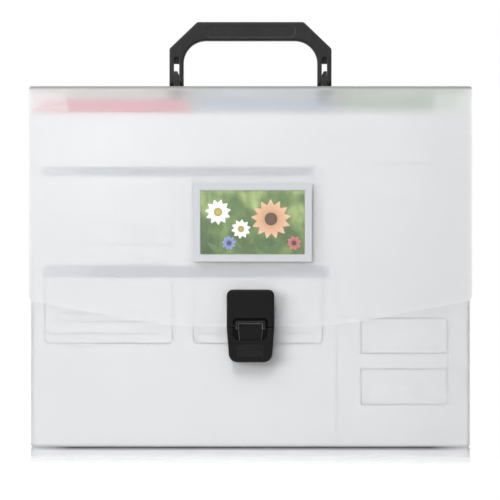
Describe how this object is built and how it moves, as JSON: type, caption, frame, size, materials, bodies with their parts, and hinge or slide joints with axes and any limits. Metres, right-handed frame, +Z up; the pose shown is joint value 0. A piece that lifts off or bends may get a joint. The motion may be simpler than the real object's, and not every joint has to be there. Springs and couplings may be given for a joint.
{
  "type": "document carrying case",
  "caption": "Slim upright carrying case of frosted sheet plastic with a fold-over flap, slide latch, folding handle and tabbed pockets for papers.",
  "frame": {"origin": "middle of the underside, halfway between the front and back panels", "axes": "+X to the right seen from the front, +Y from front to back, +Z up"},
  "size_m": [0.33, 0.0509, 0.3181],
  "materials": {
    "case_plastic": "frosted see-through sheet plastic",
    "pink_divider": "frosted sheet with a pink tab",
    "blue_divider": "frosted sheet with a pale blue tab",
    "green_divider": "frosted sheet with a green tab",
    "printed_sheet": "smooth printed paper",
    "black_plastic": "satin moulded plastic",
    "pocket_border": "smooth welded film",
    "clear_film": "clear glossy film",
    "picture_print": "printed card",
    "pin_steel": "plain steel pin"
  },
  "bodies": {
    "case": {"body_sheet": "case_plastic", "back_panel": "case_plastic", "left_side_wall": "case_plastic", "right_side_wall": "case_plastic", "card_sheet": "printed_sheet", "label_sheet": "printed_sheet", "left_tab_divider": "pink_divider", "middle_tab_divider": "blue_divider", "right_tab_divider": "green_divider", "latch_base": "black_plastic", "latch_base_rivets": "black_plastic", "latch_base_backing": "black_plastic", "latch_spring": "black_plastic"},
    "latch_slider": {"latch_slider": "black_plastic"},
    "cover_top": {"top_strip": "case_plastic", "left_handle_ear": "black_plastic", "right_handle_ear": "black_plastic"},
    "handle": {"handle": "black_plastic", "left_handle_pin": "pin_steel", "right_handle_pin": "pin_steel"},
    "flap": {"front_flap": "case_plastic", "latch_plate": "black_plastic", "latch_plate_rivets": "black_plastic", "latch_plate_backing": "black_plastic", "pocket_frame": "pocket_border", "pocket_film": "clear_film", "picture_card": "picture_print"}
  },
  "joints": [
    {"name": "cover_fold", "type": "hinge", "parent": "case", "child": "cover_top", "pos_m": [0, 0.01903, 0.26803], "axis": [-1, 0, 0], "range_deg": [0, 90]},
    {"name": "flap_fold", "type": "hinge", "parent": "cover_top", "child": "flap", "pos_m": [0, -0.02183, 0.26803], "axis": [-1, 0, 0], "range_deg": [0, 90]},
    {"name": "handle_fold", "type": "hinge", "parent": "cover_top", "child": "handle", "pos_m": [0, -0.0014, 0.2745], "axis": [1, 0, 0], "range_deg": [-90, 90]},
    {"name": "latch_slide", "type": "slide", "parent": "case", "child": "latch_slider", "axis": [0, 0, -1], "range_m": [0, 0.005], "stiffness_N_per_m": 300, "springref_m": -0.003, "deforming": ["latch_spring"]}
  ]
}
